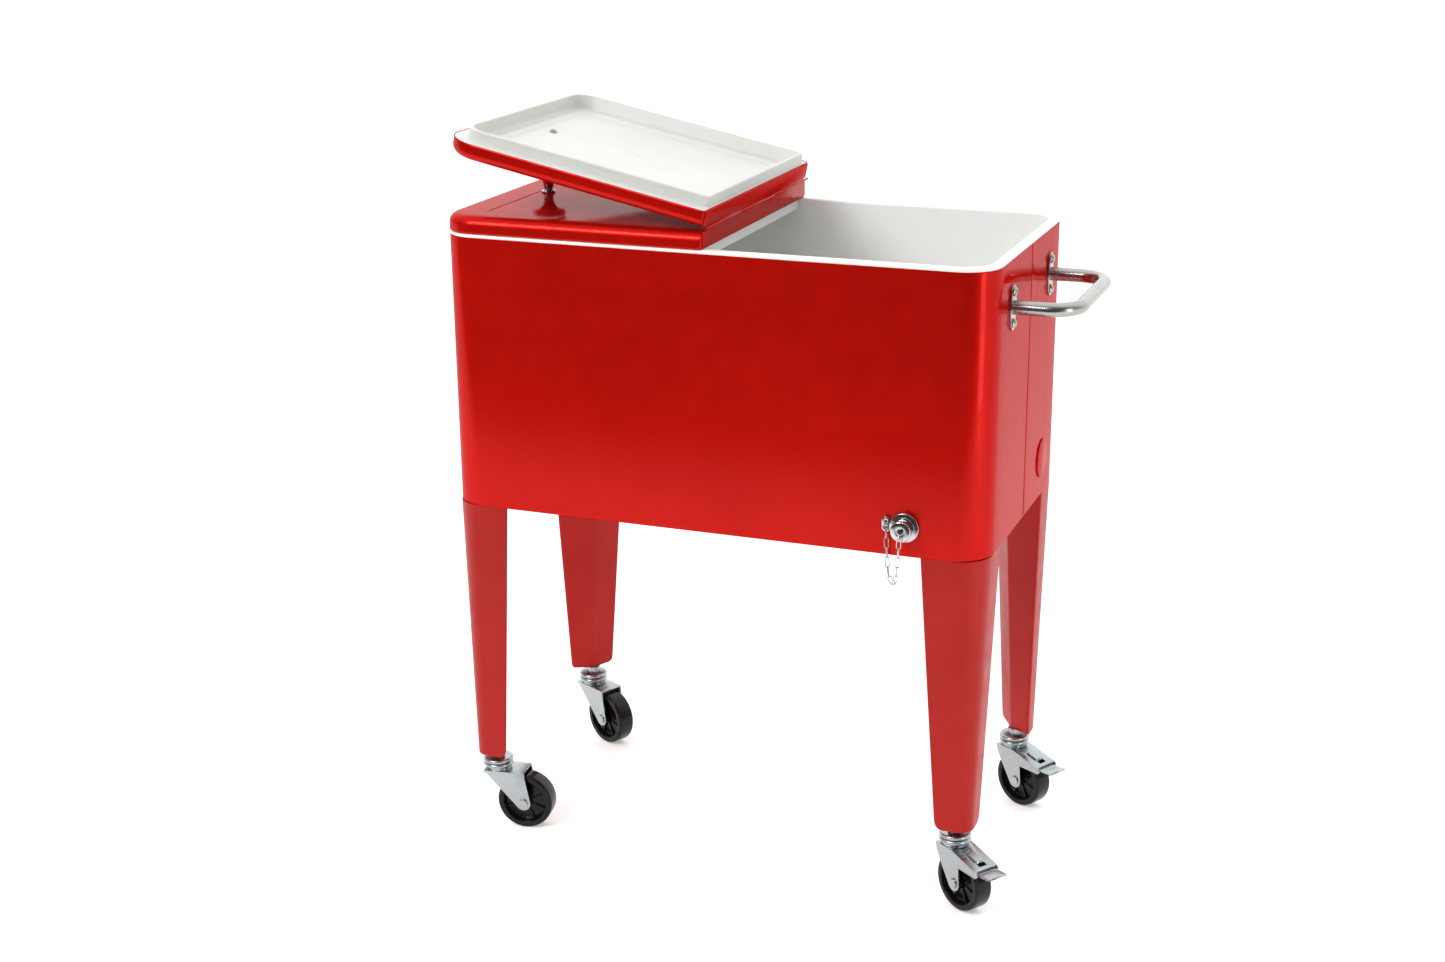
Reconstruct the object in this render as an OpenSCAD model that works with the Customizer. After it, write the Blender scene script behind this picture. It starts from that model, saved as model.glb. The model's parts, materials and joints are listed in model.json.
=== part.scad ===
// Rolling patio cooler chest: insulated steel tub on four tapered legs with
// swivel casters, two half lids on one centre hinge, a push handle and a drain.
// Millimetres, +Z up. The origin is on the floor, under the middle of the tub.

/* [Body] */
// Length of the tub over its painted shell
body_l = 700; // [560:1:840]
// Depth of the tub, front to back
body_w = 373; // [320:1:440]
// Height of the painted shell
body_h = 345; // [280:1:420]
// Outer radius of the upright corners
corner_r = 44; // [36:1:54]
// Thickness of the painted steel sheet
sheet_t = 1; // [0.8:0.1:1.5]

/* [Liner] */
// Thickness of the white rim flange that caps the shell
rim_t = 4.6; // [3.5:0.1:6]
// Width of the rim, from the shell's outside to the tub's inside
rim_w = 13; // [11:0.5:16]
// Wall of the moulded liner
liner_t = 2.5; // [2:0.1:3]
// Height of the tub's inside floor over the shell's lower edge
floor_rise = 20; // [16:1:20]

/* [Legs] */
// Height of the legs
leg_h = 354.5; // [250:0.5:450]
// Sheet of the legs
leg_t = 1.5; // [1.2:0.1:2]
// Reach of a leg's wings from its outer corner, at the top
leg_top_reach = 79.6; // [74:0.1:90]
// Reach of a leg's wings from its outer corner, at the foot
leg_foot_reach = 48; // [44:0.1:54]
// Set-back of the leg's faces from the tub's faces, at the foot
leg_foot_inset = 11; // [8:0.5:14]

/* [Casters] */
// Diameter of the wheels
wheel_d = 75; // [70:1:80]
// Width of the tread
wheel_w = 25; // [20:0.5:27]
// Swivel axis to wheel axle, plain casters
trail_plain = 38.5; // [34:0.5:42]
// Swivel axis to wheel axle, braked casters
trail_brake = 19; // [17:0.5:22]
// Height of the leg's foot over the floor
foot_z = 105; // [103:0.5:115]
// Swivel axis to the tub's end face
axis_inset_x = 35; // [34:0.5:38]
// Swivel axis to the tub's long face
axis_inset_y = 33; // [32:0.5:38]
// Diameter of the wheel axles
axle_d = 8; // [6:0.5:10]

/* [Lids] */
// Height of the lids' painted skirt
lid_h = 21; // [18:0.5:28]
// Radius of the lids' rounded top edge
lid_edge_r = 12; // [8:0.5:14]
// Offset of the hinge from the middle of the tub
hinge_x = 0; // [-10:0.5:10]
// Angle at which the open lid lies over the other one, from level
rest_angle = 11.8; // [8:0.1:18]
// Hinge axis to the lid knobs
knob_reach = 287; // [240:1:300]
// Radius of the knob's head
knob_r = 22; // [16:0.5:24]
// How far the lid trays reach below the lids' edges
tray_drop = 14; // [8:0.5:18]
// Depth of the lid pans, from the tray's lower edge
pan_depth = 20; // [16:0.5:24]

/* [Handle] */
// Diameter of the handle tube
tube_d = 17; // [14:0.5:20]
// Distance between the handle's two arms
handle_span = 194; // [160:1:220]
// Shell to the middle of the handle's bar
handle_reach = 75; // [60:1:90]
// Handle's height below the shell's upper edge
handle_drop = 56; // [50:1:70]
// Radius of the handle's bends
bend_r = 38; // [30:1:42]

/* [Drain] */
// Drain's distance from the middle of the tub
drain_x = 252; // [200:1:260]
// Drain's height over the shell's lower edge
drain_rise = 36.6; // [34:0.1:40]
// Radius of the drain's outer flange
drain_flange_r = 18; // [16:0.5:20]
// Radius of the screw cap
cap_r = 12.5; // [12:0.5:14]
// Length of the screw cap
cap_len = 14.7; // [13:0.1:18]

/* [Hidden] */
$fn = 48;
eps = 0.01;

// Clearances: loose pieces, bolts in their holes, and turning fits
gap = 0.4;
bolt_gap = 0.2;
run_gap = 0.05;

// Levels of the tub
base_z = foot_z + leg_h;
shell_top = base_z + body_h;
rim_top = shell_top + rim_t;
tub_floor = base_z + floor_rise;
liner_in = rim_w;
liner_out = rim_w - liner_t;

// Lids and their hinge
lid_z = rim_top + gap;
lid_top = lid_z + lid_h;
barrel_r = 2.2;
pin_r = 1.5;
hinge_z = lid_top + barrel_r;
leaf_t = 0.9;
leaf_x = 0.4;
wall_x = leaf_x + leaf_t;
pin_stick = 5;
knuckles = 3;
barrel_inset = 10;
knuckle_len = (body_w - 2 * barrel_inset) / knuckles;
left_len = body_l / 2 + hinge_x;
right_len = body_l / 2 - hinge_x;
plug_inset = rim_w + 4;
plug_hinge_inset = wall_x + sheet_t + 1.7;
tray_t = 2.5;
plug_r = corner_r - plug_inset;
pan_floor_t = 2.2;
pan_z = pan_depth - tray_drop;
groove_inset = 50;
groove_half = 154;
groove_w = 2;
groove_depth = 0.5;
// The knobs' heads just clear each other when one lid lies over the other
knob_h = barrel_r + (knob_reach - knob_r) * tan(rest_angle / 2) - gap / 2;
knob_neck_r = 6.5;
knob_rim_t = 7;
knob_screw_r = 2;

// Handle fittings
plate_t = 2.5;
plate_mid_r = 13;
plate_end_r = 8.5;
plate_bolt = 19;
handle_z = shell_top - handle_drop;
handle_bolt_r = 3;
tube_wall = 1.2;
nut_h = 5;
nut_r = 5.8;

// Drain
front_y = -body_w / 2;
drain_z = base_z + drain_rise;
spout_r = 9;
spout_bore_r = 7;
tab_t = 1;
flange_t = 3;
neck_len = 10.5;
seal_t = 1.5;
gasket_t = 1.5;
drain_nut_h = 5;
drain_nut_r = 14;
thread_tail = 1;
flange_y = front_y - tab_t;
neck_y = flange_y - flange_t;
cap_back_y = neck_y - gap;
cap_front_y = cap_back_y - cap_len;
seal_back_y = neck_y - neck_len - gap;
seal_front_y = seal_back_y - seal_t;
eye_r = 1.5;
eye_head_r = 3.4;
eye_ring_r = 2.6;
eye_head_t = 2.5;

// Chain: links of one length on the curve that a chain of rigid links hangs in
link_pitch = 12;
wire_r = 0.6;
eye_y = cap_front_y - gap - eye_ring_r - wire_r;
eye_z = wire_r - eye_head_r - eye_ring_r;
link_half_w = 2.4;
links = 11;
tab_hole_x = -21.7;
tab_hole_z = 3.9;
tab_lift = 2.6;
tab_hole_r = 1.6;
ear_r = 5.3;
tab_off = 3;
hook = wire_r + run_gap;
chain_start = [drain_x + tab_hole_x, front_y - tab_off - tab_t / 2, drain_z + tab_lift - tab_hole_z - hook];
chain_end = [drain_x, eye_y, drain_z + eye_z - eye_ring_r + hook];

// Casters: one row each of side signs, heading and brake
CASTERS = [[-1, -1, 8, false], [1, -1, -34, true], [-1, 1, -27, false], [1, 1, -28.5, true]];
fork_top = 81;
fork_t = 2;
fork_half = 18;
lobe_r = 9.8;
race_r = 20;
race_h = 6;
race_lift = 3.5;
kingpin_r = 5;
kingpin_head_r = 8;
stem_nut_r = 9.8;
foot_plate_t = 3;
head_t = 2.5;
wheel_r = wheel_d / 2;
hub_r = 9;
hub_half = fork_half - fork_t - 0.7;
rim_lip_r = wheel_r - 5;
web_half = 3;
pivot = [33, 69];
lobe = [56.5, 65];
slope_from = 12;
slope_end = [58, 69.3];
brake_pin_r = 2;
pedal_half = fork_half - fork_t - 0.5;
pedal_t = 1.5;
shoe_gap = 2.7;

// Leg section: set-back of its faces, reach of its wings, its inner crease and corner radius
leg_top = [1, leg_top_reach + 1, 0.675 * leg_top_reach, 38];
leg_foot = [leg_foot_inset, leg_foot_inset + leg_foot_reach, leg_foot_inset + 0.58 * leg_foot_reach, 18];
leg_bolt_at = [[20, 52], [52, 20], [42, 42]];
leg_bolt_r = 3;
leg_bolt_head = 4;

// End disc that closes the port for the foam
port_y = 92;
port_z = base_z + 51;
port_r = 25;
port_t = 1.5;
port_stem_r = 6;
port_stem_len = 5;
seam_w = 0.8;
seam_depth = 0.4;

RED = [0.75, 0.08, 0.06];
WHITE = [0.92, 0.92, 0.9];
ZINC = [0.75, 0.79, 0.81];
STEEL = [0.72, 0.71, 0.69];
BLACK = [0.08, 0.08, 0.08];
FOAM = [0.93, 0.87, 0.62];

// Rectangle with round corners, centred
module round_rect(l, w, r) {
    square([l - 2 * r, w], center = true);
    square([l, w - 2 * r], center = true);
    for (sx = [-1, 1], sy = [-1, 1])
        translate([sx * (l / 2 - r), sy * (w / 2 - r)]) circle(r);
}

// Plan of the tub, drawn inwards by an inset
module tub_plan(inset) {
    round_rect(body_l - 2 * inset, body_w - 2 * inset, corner_r - inset);
}

// A cylinder along Y, from one y to another
module y_rod(y0, y1, r) {
    translate([0, max(y0, y1), 0]) rotate([90, 0, 0]) cylinder(h = abs(y1 - y0), r = r);
}

// A cylinder along X, from one x to another
module x_rod(x0, x1, r) {
    translate([x0, 0, 0]) rotate([0, 90, 0]) cylinder(h = x1 - x0, r = r);
}

// The point where a line from p touches a circle, on its left (1) or right (-1)
function touch(p, c, r, side) =
    let (d = c - p, far = norm(d), a = atan2(d[1], d[0]) + side * asin(r / far))
    p + sqrt(far * far - r * r) * [cos(a), sin(a)];

module at_drain() { translate([drain_x, 0, drain_z]) children(); }

module at_handle_bolts() {
    for (sy = [-1, 1], sz = [-1, 1])
        translate([body_l / 2, sy * handle_span / 2, handle_z + sz * plate_bolt]) children();
}

module at_leg_bolts() {
    for (c = CASTERS, p = leg_bolt_at)
        translate([c[0] * (body_l / 2 - p[0]), c[1] * (body_w / 2 - p[1]), 0]) children();
}

// ---- Tub ----

module outer_shell() color(RED) difference() {
    translate([0, 0, base_z]) linear_extrude(body_h) tub_plan(0);
    translate([0, 0, base_z - 1]) linear_extrude(body_h + 2) tub_plan(sheet_t);
    at_handle_bolts() x_rod(-5, 5, handle_bolt_r + bolt_gap);
    at_drain() y_rod(front_y - 1, front_y + 5, spout_r + bolt_gap);
    translate([body_l / 2, port_y, port_z]) x_rod(-5, 5, port_stem_r + bolt_gap);
    translate([body_l / 2 - seam_depth, -seam_w / 2, base_z - 1]) cube([5, seam_w, body_h + 2]);
}

module bottom_panel() color(RED) difference() {
    flange = 10;
    translate([0, 0, base_z]) linear_extrude(flange) tub_plan(sheet_t);
    translate([0, 0, base_z + sheet_t]) linear_extrude(flange) tub_plan(2 * sheet_t);
    at_leg_bolts() translate([0, 0, base_z - 5]) cylinder(h = 20, r = leg_bolt_r + bolt_gap);
}

module inner_liner() color(WHITE) difference() {
    union() {
        translate([0, 0, shell_top]) linear_extrude(rim_t) tub_plan(0);
        translate([0, 0, tub_floor - liner_t])
            linear_extrude(shell_top - tub_floor + liner_t + eps) tub_plan(liner_out);
    }
    translate([0, 0, tub_floor]) linear_extrude(body_h + rim_t) tub_plan(liner_in);
    at_drain() y_rod(front_y, front_y + rim_w + 5, spout_r + bolt_gap);
}

module foam_insulation() color(FOAM) difference() {
    translate([0, 0, base_z + sheet_t]) linear_extrude(body_h - sheet_t) tub_plan(2 * sheet_t);
    translate([0, 0, tub_floor - liner_t]) linear_extrude(body_h) tub_plan(liner_out);
    at_handle_bolts() x_rod(-rim_w, 0, nut_r + 1);
    at_drain() y_rod(front_y, front_y + rim_w + 5, spout_r + bolt_gap);
    translate([body_l / 2, port_y, port_z]) x_rod(-port_stem_len - 1, 0, port_stem_r + 1);
    at_leg_bolts() translate([0, 0, base_z]) cylinder(h = sheet_t + leg_bolt_head + 1, r = 7);
}

module foam_port_plug() color(RED) translate([body_l / 2, port_y, port_z]) {
    x_rod(0, port_t, port_r);
    x_rod(-port_stem_len, eps, port_stem_r);
}

// ---- Legs ----

module leg_outline(s) {
    polygon([[s[0], s[1]], [s[0], s[0] + s[3]], [s[0] + s[3], s[0]], [s[1], s[0]], [s[2], s[2]]]);
    translate([s[0] + s[3], s[0] + s[3]]) circle(r = s[3], $fn = 32);
}

module leg_body(shrink) {
    hull() {
        translate([0, 0, base_z - eps]) linear_extrude(eps) offset(delta = -shrink) leg_outline(leg_top);
        translate([0, 0, foot_z]) linear_extrude(eps) offset(delta = -shrink) leg_outline(leg_foot);
    }
}

module leg(i) {
    c = CASTERS[i];
    axis = [axis_inset_x, axis_inset_y];
    top_plate_t = 3;
    color(RED) translate([c[0] * body_l / 2, c[1] * body_w / 2, 0])
        mirror([c[0] > 0 ? 1 : 0, 0, 0]) mirror([0, c[1] > 0 ? 1 : 0, 0]) difference() {
            leg_body(0);
            intersection() {
                leg_body(leg_t);
                translate([-5, -5, foot_z + foot_plate_t])
                    cube([150, 150, leg_h - foot_plate_t - top_plate_t]);
            }
            for (p = leg_bolt_at)
                translate([p[0], p[1], base_z - 20]) cylinder(h = 40, r = leg_bolt_r + run_gap);
            translate([axis[0], axis[1], foot_z - 5]) cylinder(h = 20, r = kingpin_r + run_gap);
        }
}

module leg_bolts() color(ZINC) at_leg_bolts() {
    translate([0, 0, base_z + sheet_t]) cylinder(h = leg_bolt_head, r = 5.5, $fn = 6);
    translate([0, 0, base_z - 8]) cylinder(h = 8 + sheet_t + eps, r = leg_bolt_r);
}

// ---- Push handle ----

// The handle's tube as a solid of a given radius, from the plates outwards
module handle_bar(r) {
    y = handle_span / 2;
    x0 = body_l / 2 + plate_t;
    x1 = body_l / 2 + handle_reach;
    translate([0, 0, handle_z]) {
        for (s = [-1, 1]) {
            translate([0, s * y, 0]) x_rod(x0, x1 - bend_r, r);
            translate([x1 - bend_r, s * (y - bend_r), 0]) rotate([0, 0, s > 0 ? 0 : -90])
                rotate_extrude(angle = 90) translate([bend_r, 0]) circle(r);
        }
        translate([x1, 0, 0]) y_rod(-(y - bend_r), y - bend_r, r);
    }
}

module push_handle() color(STEEL) difference() {
    handle_bar(tube_d / 2);
    handle_bar(tube_d / 2 - tube_wall);
}

// Oval plate: a middle circle and two end circles joined by their tangents
module handle_plate(s) {
    t = asin((plate_mid_r - plate_end_r) / plate_bolt);
    m = plate_mid_r * [cos(t), sin(t)];
    e = [plate_end_r * cos(t), plate_bolt + plate_end_r * sin(t)];
    color(STEEL) translate([body_l / 2, s * handle_span / 2, handle_z]) rotate([90, 0, 90]) difference() {
        linear_extrude(plate_t) {
            circle(plate_mid_r);
            for (k = [-1, 1]) translate([0, k * plate_bolt]) circle(plate_end_r);
            polygon([m, e, [-e[0], e[1]], [-m[0], m[1]], -m, -e, [e[0], -e[1]], [m[0], -m[1]]]);
        }
        for (k = [-1, 1])
            translate([0, k * plate_bolt, -1]) cylinder(h = plate_t + 2, r = handle_bolt_r + bolt_gap);
    }
}

module handle_bolts() color(STEEL) at_handle_bolts() {
    x_rod(-sheet_t - nut_h - 1, plate_t + eps, handle_bolt_r);
    translate([plate_t, 0, 0]) rotate([0, 90, 0]) intersection() {
        cylinder(h = 4, r = 5.8);
        translate([0, 0, -3]) sphere(7);
    }
}

module handle_nuts() color(ZINC) at_handle_bolts() difference() {
    translate([-sheet_t - nut_h, 0, 0]) rotate([0, 90, 0]) cylinder(h = nut_h, r = nut_r, $fn = 6);
    x_rod(-sheet_t - nut_h - 1, 1, handle_bolt_r);
}

// ---- Drain ----

module drain_spout() color(STEEL) at_drain() difference() {
    union() {
        y_rod(neck_y - neck_len, front_y + rim_w + gasket_t + drain_nut_h + thread_tail, spout_r);
        y_rod(neck_y, flange_y, drain_flange_r);
    }
    y_rod(neck_y - neck_len - 1, front_y + 40, spout_bore_r);
}

module drain_gasket() color(BLACK) at_drain() difference() {
    y_rod(front_y + rim_w, front_y + rim_w + gasket_t, drain_nut_r - 1);
    y_rod(front_y, front_y + 40, spout_r);
}

module drain_nut() color(WHITE) at_drain() difference() {
    translate([0, front_y + rim_w + gasket_t + drain_nut_h, 0]) rotate([90, 0, 0])
        cylinder(h = drain_nut_h, r = drain_nut_r, $fn = 6);
    y_rod(front_y, front_y + 40, spout_r);
}

// Plate under the drain's flange, joggled outwards to an ear with two holes
module chain_tab() color(STEEL) at_drain() translate([0, front_y, 0]) rotate([90, 0, 0])
    difference() {
        bend_x = -drain_flange_r - gap;
        neck = tab_lift - tab_hole_z;
        union() {
            linear_extrude(tab_t) {
                circle(drain_flange_r - 1);
                translate([bend_x - tab_t, neck]) square([drain_flange_r, 2 * tab_hole_z]);
            }
            translate([bend_x - tab_t, neck, 0]) cube([tab_t, 2 * tab_hole_z, tab_off + tab_t]);
            translate([0, 0, tab_off]) linear_extrude(tab_t) intersection() {
                union() {
                    for (k = [-1, 1]) translate([tab_hole_x, tab_lift + k * tab_hole_z]) circle(ear_r);
                    translate([tab_hole_x - ear_r, neck]) square([2 * ear_r, 2 * tab_hole_z]);
                }
                translate([bend_x - 20, -20]) square([20, 40]);
            }
        }
        for (k = [-1, 1])
            translate([tab_hole_x, tab_lift + k * tab_hole_z, tab_off - 1]) cylinder(h = 5, r = tab_hole_r);
        translate([0, 0, -1]) cylinder(h = 5, r = spout_r);
    }

// One chain link along X between two joints, its wire ends hooked past them
module chain_link() {
    straight = link_pitch / 2 + hook - link_half_w;
    for (s = [-1, 1]) {
        translate([0, s * link_half_w, 0]) x_rod(-straight, straight, wire_r);
        translate([s * straight, 0, 0]) rotate([0, 0, s > 0 ? -90 : 90])
            rotate_extrude(angle = 180) translate([link_half_w, 0]) circle(r = wire_r, $fn = 16);
    }
}

// Slope of link i in a hanging chain: its tangent grows evenly from the lowest point
function slope(i, k, low) = atan(k * (i - low));
function run(k, low, n = links) = [for (i = [0 : n - 1]) link_pitch * cos(slope(i, k, low))];
function drop(k, low, n = links) = [for (i = [0 : n - 1]) link_pitch * sin(slope(i, k, low))];
function total(v, n) = n <= 0 ? 0 : v[n - 1] + total(v, n - 1);
// Halving steps: the slope step that spans a width, and the low point that ends at a height
function find_k(span, low, a = 0.2, b = 12, n = 24) =
    let (m = (a + b) / 2) n == 0 ? m :
    total(run(m, low), links) > span ? find_k(span, low, m, b, n - 1) : find_k(span, low, a, m, n - 1);
function find_low(span, rise, a = 3, b = 8, n = 20) =
    let (m = (a + b) / 2) n == 0 ? m :
    total(drop(find_k(span, m), m), links) > rise ? find_low(span, rise, m, b, n - 1) :
    find_low(span, rise, a, m, n - 1);
chain_way = chain_end - chain_start;
chain_span = norm([chain_way[0], chain_way[1]]);
chain_low = find_low(chain_span, chain_way[2]);
chain_k = find_k(chain_span, chain_low);
chain_turn = atan2(chain_way[1], chain_way[0]);

module drain_chain() color(STEEL) translate(chain_start) rotate([0, 0, chain_turn])
    for (i = [0 : links - 1]) {
        x = total(run(chain_k, chain_low), i) + run(chain_k, chain_low)[i] / 2;
        z = total(drop(chain_k, chain_low), i) + drop(chain_k, chain_low)[i] / 2;
        translate([x, 0, z]) rotate([0, -slope(i, chain_k, chain_low), 0])
            rotate([i % 2 == 0 ? -45 : 45, 0, 0]) chain_link();
    }

module drain_cap() color(STEEL) at_drain() difference() {
    y_rod(cap_front_y, cap_back_y, cap_r);
    y_rod(seal_front_y, cap_back_y + 1, spout_r + run_gap);
    y_rod(cap_front_y - 1, cap_back_y, eye_r + run_gap);
}

module cap_seal() color(BLACK) at_drain() difference() {
    y_rod(seal_front_y, seal_back_y, spout_r);
    y_rod(seal_front_y - 1, seal_back_y + 1, eye_head_r + gap);
}

// Swivel eye in the middle of the cap: its head and ring outside, a rivet end inside
module cap_eye() color(STEEL) at_drain() difference() {
    union() {
        y_rod(cap_front_y - gap - eye_head_t, cap_front_y - gap, eye_head_r);
        y_rod(cap_front_y - gap - 1, seal_front_y + gap + 0.5, eye_r);
        y_rod(seal_front_y + gap, seal_front_y + gap + 1, eye_r + 1.2);
        translate([0, eye_y, eye_z]) x_rod(-wire_r, wire_r, eye_ring_r + wire_r);
    }
    translate([0, eye_y, eye_z]) x_rod(-5, 5, eye_ring_r - wire_r);
}

// ---- Lids ----
// A lid is drawn from its hinge axis along +X, with its lower edge at z = 0.

// Plan of a lid from x0 to its outer end, with two round corners there
module lid_plan(x0, len, half, r) {
    translate([x0, -half]) square([len - r - x0, 2 * half]);
    translate([x0, -(half - r)]) square([len - x0, 2 * (half - r)]);
    for (s = [-1, 1]) translate([len - r, s * (half - r)]) circle(r);
}

// Solid lid with a rounded top edge and a flat underside, drawn inwards by an inset
module lid_blank(x0, len, inset) difference() {
    half = body_w / 2 - inset;
    end = len - inset;
    rc = corner_r - inset;
    re = lid_edge_r - inset;
    z = lid_h - inset;
    union() {
        linear_extrude(z - re) lid_plan(x0, end, half, rc);
        linear_extrude(z) lid_plan(x0, end - re, half - re, rc - re);
        translate([0, 0, z - re]) {
            for (s = [-1, 1]) {
                translate([0, s * (half - re), 0]) x_rod(x0, end - rc, re);
                translate([end - rc, s * (half - rc), 0]) rotate([0, 0, s > 0 ? 0 : -90])
                    rotate_extrude(angle = 90) translate([rc - re, 0]) circle(re);
            }
            translate([end - re, 0, 0]) y_rod(-(half - rc), half - rc, re);
        }
    }
    translate([0, -body_w, -2 * lid_h]) cube([body_l, 2 * body_w, 2 * lid_h]);
}

// Places a lid: closed on the left, or folded over it on its hinge on the right
module on_lid(side) {
    if (side < 0)
        translate([hinge_x, 0, lid_z]) mirror([1, 0, 0]) children();
    else
        translate([hinge_x, 0, hinge_z]) rotate([0, rest_angle - 180, 0])
            translate([0, 0, lid_z - hinge_z]) children();
}

function lid_len(side) = side < 0 ? left_len : right_len;

module lid_shell(side) color(RED) on_lid(side) difference() {
    lid_blank(wall_x, lid_len(side), 0);
    translate([0, 0, -eps]) lid_blank(wall_x + sheet_t, lid_len(side), sheet_t);
    translate([knob_reach, 0, lid_h - 5]) cylinder(h = 10, r = knob_screw_r + bolt_gap);
    translate([lid_len(side) - groove_inset - groove_w / 2, -groove_half, lid_h - groove_depth])
        cube([groove_w, 2 * groove_half, 5]);
}

module lid_plug(len, grow) {
    lid_plan(plug_hinge_inset - grow, len - plug_inset + grow,
        body_w / 2 - plug_inset + grow, plug_r + grow);
}

module lid_tray(side) color(WHITE) on_lid(side) {
    len = lid_len(side);
    difference() {
        union() {
            linear_extrude(tray_t)
                lid_plan(wall_x + sheet_t, len - sheet_t, body_w / 2 - sheet_t, corner_r - sheet_t);
            translate([0, 0, -tray_drop]) linear_extrude(tray_drop + pan_z + pan_floor_t) lid_plug(len, 0);
        }
        translate([0, 0, -tray_drop - 1]) linear_extrude(tray_drop + 1 + pan_z) lid_plug(len, -tray_t);
        translate([knob_reach, 0, 0]) cylinder(h = lid_h, r = knob_screw_r + bolt_gap);
    }
}

module lid_foam(side) color(FOAM) on_lid(side) difference() {
    translate([0, 0, -eps]) lid_blank(wall_x + sheet_t, lid_len(side), sheet_t);
    translate([0, 0, -1]) linear_extrude(1 + tray_t)
        lid_plan(0, lid_len(side), body_w / 2, corner_r);
    linear_extrude(pan_z + pan_floor_t) lid_plug(lid_len(side), 0);
    translate([knob_reach, 0, 0]) cylinder(h = lid_h + 5, r = knob_screw_r + bolt_gap);
    translate([lid_len(side) - groove_inset - groove_w, -groove_half - 1, lid_h - sheet_t - groove_depth])
        cube([2 * groove_w, 2 * groove_half + 2, 5]);
}

// Knob: foot ring, neck, hollow flare and a thick round-edged head
module knob(side) color(STEEL) on_lid(side) translate([knob_reach, 0, lid_h]) difference() {
    flare_z = knob_h - knob_rim_t;
    flare = knob_r - 2 - knob_neck_r;
    rise = flare_z - 6;
    rotate_extrude() {
        polygon([[0, 0], [knob_neck_r + 1.5, 0], [knob_neck_r + 1.5, 2], [knob_neck_r, 3.5],
            [knob_neck_r, 6],
            for (a = [10 : 10 : 90]) [knob_neck_r + flare * (1 - cos(a)), 6 + rise * sin(a)],
            [knob_r - knob_rim_t / 2, flare_z], [knob_r - knob_rim_t / 2, knob_h], [0, knob_h]]);
        translate([knob_r - knob_rim_t / 2, knob_h - knob_rim_t / 2]) circle(knob_rim_t / 2);
    }
    translate([0, 0, -1]) cylinder(h = 11, r = knob_screw_r);
}

module knob_screw(side) color(ZINC) on_lid(side) translate([knob_reach, 0, pan_z]) {
    washer_t = 1.2;
    translate([0, 0, -washer_t]) {
        cylinder(h = washer_t + lid_h - pan_z + 9, r = knob_screw_r);
        cylinder(h = washer_t, r = 5);
        translate([0, 0, -2.2]) cylinder(h = 2.2 + eps, r = 3.6);
    }
}

// A knuckle's span along Y; the left lid takes the even ones, the right lid the odd ones
function knuckle_y(k) = barrel_inset - body_w / 2 + k * knuckle_len;

module hinge_leaf(side) color(RED) on_lid(side) difference() {
    axis_z = lid_h + barrel_r;
    first = side < 0 ? 0 : 1;
    inset = 3;
    union() {
        translate([leaf_x, -body_w / 2 + inset, 2])
            cube([leaf_t, body_w - 2 * inset, axis_z - barrel_r - gap - 2]);
        for (k = [first : 2 : knuckles - 1]) {
            y0 = knuckle_y(k) + gap / 2;
            y1 = knuckle_y(k + 1) - gap / 2;
            translate([leaf_x, y0, lid_h - 5]) cube([leaf_t, y1 - y0, 5 + barrel_r]);
            translate([0, 0, axis_z]) y_rod(y0, y1, barrel_r);
        }
    }
    translate([0, 0, axis_z]) y_rod(-body_w, body_w, pin_r + run_gap);
}

module hinge_pin() color(STEEL) translate([hinge_x, 0, hinge_z])
    y_rod(knuckle_y(0) - 1, body_w / 2 + pin_stick, pin_r);

// ---- Casters ----
// A caster is drawn from its swivel axis, with its wheel towards +X.

module at_caster(i) {
    c = CASTERS[i];
    translate([c[0] * (body_l / 2 - axis_inset_x), c[1] * (body_w / 2 - axis_inset_y), 0])
        rotate([0, 0, c[2]]) children();
}

function trail(i) = CASTERS[i][3] ? trail_brake : trail_plain;
function wheel_at(i) = [trail(i), wheel_r];

// Fixed upper half: raceway cup, kingpin with its head, stem and nut
module caster_top(i) color(ZINC) at_caster(i) {
    cup_z = fork_top + race_lift + race_h + gap;
    nut_z = cup_z + race_h;
    head_z = cup_z - gap - 2 - head_t;
    rotate_extrude() {
        translate([0, cup_z]) square([race_r - race_h / 2, race_h]);
        translate([race_r - race_h / 2, cup_z + race_h / 2]) circle(race_h / 2);
    }
    translate([0, 0, head_z]) cylinder(h = foot_z + 16 - head_z, r = kingpin_r);
    translate([0, 0, head_z]) cylinder(h = head_t, r = kingpin_head_r);
    translate([0, 0, nut_z - eps]) cylinder(h = foot_z - nut_z + eps, r = stem_nut_r, $fn = 6);
}

// Side outline of a plain fork and of a braked one with its second lobe
module fork_side(i) {
    a = wheel_at(i);
    back = -16;
    if (!CASTERS[i][3]) {
        corner = [-11, fork_top - 4.5];
        tip = [a[0] + 1.5, fork_top];
        low = touch(corner, a, lobe_r, -1);
        high = touch(tip, a, lobe_r, 1);
        polygon([[back, fork_top], [back, fork_top - 2], corner, low, a, high, tip]);
    } else {
        corner = [-7, 60];
        crotch = [a[0] + 8, 61.5];
        low = touch(corner, a, lobe_r, -1);
        high = touch(crotch, a, lobe_r, 1);
        polygon([[back, fork_top], [back + 2, fork_top - 8], corner, low, a, high, crotch,
            lobe - [1.7, 4.3], lobe, slope_end, [slope_from, fork_top]]);
        translate(lobe) circle(4.6);
    }
    translate(a) circle(lobe_r);
}

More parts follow.
